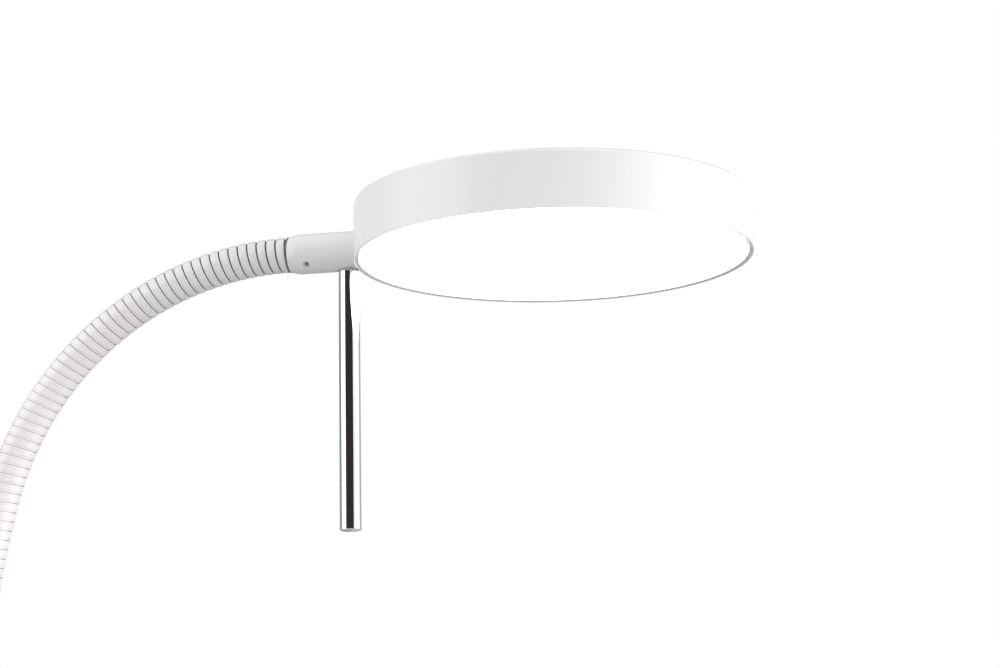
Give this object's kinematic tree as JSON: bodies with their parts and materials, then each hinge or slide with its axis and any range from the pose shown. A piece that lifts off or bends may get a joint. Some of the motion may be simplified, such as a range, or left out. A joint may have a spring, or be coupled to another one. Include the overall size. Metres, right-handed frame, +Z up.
{
  "type": "examination lamp",
  "caption": "Examination lamp: flat round LED head with an opal diffuser and a chromed handle, on a curved gooseneck above a small driver housing with a mounting spigot.",
  "frame": {"origin": "centre of the spigot's shoulder, where the base sits on whatever holds it", "axes": "+Z up along the spigot and the foot of the neck, +X towards the head as the neck bends, +Y completes the right-handed set; the button faces -Y and the cable gland faces -X"},
  "size_m": [0.4881, 0.22, 0.5932],
  "materials": {
    "white_coated_aluminium": "satin white powder coat",
    "white_coated_steel": "white coated steel strip",
    "chrome": "polished chrome plate",
    "spigot_steel": "turned, satin",
    "opal_acrylic": "opal, satin, lit from behind",
    "white_plastic": "moulded",
    "silicone": "matte",
    "grey_plastic": "fine moulded texture",
    "button_plastic": "satin",
    "fastener_steel": "zinc plated",
    "bare_aluminium": "mill finish",
    "metal_core_board": "white solder mask",
    "led": "phosphor",
    "cable_jacket": "smooth",
    "circuit_board": "solder mask",
    "component_black": "moulded",
    "terminal_green": "moulded"
  },
  "bodies": {
    "base": {"lower_neck_plug": "white_coated_steel", "lower_grub_screw": "fastener_steel", "base_housing": "white_coated_aluminium", "base_cover": "white_coated_aluminium", "cover_screws": "fastener_steel", "spigot": "spigot_steel", "spigot_nut": "fastener_steel", "driver_board": "circuit_board", "driver_components": "component_black", "terminal_block": "terminal_green", "base_cable": "cable_jacket", "switch_body": "component_black", "switch_bezel": "grey_plastic", "gland_body": "grey_plastic", "gland_cap": "grey_plastic", "gland_locknut": "grey_plastic", "neck_segment_01": "white_coated_steel", "neck_cable_01": "cable_jacket"},
    "neck_link_02": {"neck_segment_02": "white_coated_steel", "neck_cable_02": "cable_jacket"},
    "neck_link_03": {"neck_segment_03": "white_coated_steel", "neck_cable_03": "cable_jacket"},
    "neck_link_04": {"neck_segment_04": "white_coated_steel", "neck_cable_04": "cable_jacket"},
    "neck_link_05": {"neck_segment_05": "white_coated_steel", "neck_cable_05": "cable_jacket"},
    "neck_link_06": {"neck_segment_06": "white_coated_steel", "neck_cable_06": "cable_jacket"},
    "neck_link_07": {"neck_segment_07": "white_coated_steel", "neck_cable_07": "cable_jacket"},
    "neck_link_08": {"neck_segment_08": "white_coated_steel", "neck_cable_08": "cable_jacket"},
    "neck_link_09": {"neck_segment_09": "white_coated_steel", "neck_cable_09": "cable_jacket"},
    "neck_link_10": {"neck_segment_10": "white_coated_steel", "neck_cable_10": "cable_jacket"},
    "neck_link_11": {"neck_segment_11": "white_coated_steel", "neck_cable_11": "cable_jacket"},
    "neck_link_12": {"neck_segment_12": "white_coated_steel", "neck_cable_12": "cable_jacket", "upper_neck_plug": "white_coated_steel"},
    "head": {"head_housing": "white_coated_aluminium", "heat_spreader": "bare_aluminium", "led_board": "metal_core_board", "led_chips": "led", "board_screws": "fastener_steel", "board_connector": "component_black", "head_cable": "cable_jacket", "reflector": "white_plastic", "diffuser_carrier": "white_plastic", "carrier_screws": "fastener_steel", "diffuser": "opal_acrylic", "diffuser_seal": "silicone", "head_socket": "white_coated_steel", "socket_bolt": "fastener_steel", "socket_washer": "fastener_steel", "handle_rod": "chrome", "handle_stud": "fastener_steel", "upper_grub_screw": "fastener_steel"},
    "button": {"switch_button": "button_plastic"}
  },
  "joints": [
    {"name": "neck_bend_lower", "type": "hinge", "parent": "base", "child": "neck_link_02", "pos_m": [0, 0, 0.14673], "axis": [0, 1, 0], "range_deg": [-15, 15]},
    {"name": "neck_sway_lower", "type": "hinge", "parent": "neck_link_02", "child": "neck_link_03", "pos_m": [0, 0, 0.19218], "axis": [1, 0, 0], "range_deg": [-15, 15]},
    {"name": "neck_bend_lower_2", "type": "hinge", "parent": "neck_link_03", "child": "neck_link_04", "pos_m": [0, 0, 0.23764], "axis": [0, 1, 0], "range_deg": [-15, 15]},
    {"name": "neck_bend_lower_3", "type": "hinge", "parent": "neck_link_04", "child": "neck_link_05", "pos_m": [0.00032, 0, 0.28309], "axis": [0, 1, 0], "range_deg": [-15, 15]},
    {"name": "neck_sway_lower_2", "type": "hinge", "parent": "neck_link_05", "child": "neck_link_06", "pos_m": [0.00399, 0, 0.32838], "axis": [0.992, 0, -0.1261], "range_deg": [-15, 15]},
    {"name": "neck_bend_upper", "type": "hinge", "parent": "neck_link_06", "child": "neck_link_07", "pos_m": [0.01176, 0, 0.37315], "axis": [0, 1, 0], "range_deg": [-18, 10]},
    {"name": "neck_bend_upper_2", "type": "hinge", "parent": "neck_link_07", "child": "neck_link_08", "pos_m": [0.02452, 0, 0.41671], "axis": [0, 1, 0], "range_deg": [-18, 10]},
    {"name": "neck_sway_upper", "type": "hinge", "parent": "neck_link_08", "child": "neck_link_09", "pos_m": [0.04727, 0, 0.45591], "axis": [0.7921, 0, -0.6103], "range_deg": [-15, 15]},
    {"name": "neck_bend_upper_3", "type": "hinge", "parent": "neck_link_09", "child": "neck_link_10", "pos_m": [0.07938, 0, 0.4879], "axis": [0, 1, 0], "range_deg": [-18, 10]},
    {"name": "neck_bend_upper_4", "type": "hinge", "parent": "neck_link_10", "child": "neck_link_11", "pos_m": [0.11866, 0, 0.51052], "axis": [0, 1, 0], "range_deg": [-18, 10]},
    {"name": "neck_sway_upper_2", "type": "hinge", "parent": "neck_link_11", "child": "neck_link_12", "pos_m": [0.16245, 0, 0.52223], "axis": [0.1302, 0, -0.9915], "range_deg": [-15, 15]},
    {"name": "head_swivel", "type": "hinge", "parent": "neck_link_12", "child": "head", "pos_m": [0.19911, 0, 0.52371], "axis": [1, 0, 0], "range_deg": [-135, 135]},
    {"name": "button_press", "type": "slide", "parent": "base", "child": "button", "axis": [0, 1, 0], "range_m": [0, 0.0015], "stiffness_N_per_m": 600, "springref_m": -0.001}
  ],
  "couplings": [
    {"joint": "neck_bend_lower_2", "follows": "neck_bend_lower", "ratio": 1},
    {"joint": "neck_bend_lower_3", "follows": "neck_bend_lower", "ratio": 1},
    {"joint": "neck_sway_lower_2", "follows": "neck_sway_lower", "ratio": 1},
    {"joint": "neck_bend_upper_2", "follows": "neck_bend_upper", "ratio": 1},
    {"joint": "neck_bend_upper_3", "follows": "neck_bend_upper", "ratio": 1},
    {"joint": "neck_bend_upper_4", "follows": "neck_bend_upper", "ratio": 1},
    {"joint": "neck_sway_upper_2", "follows": "neck_sway_upper", "ratio": 1}
  ]
}
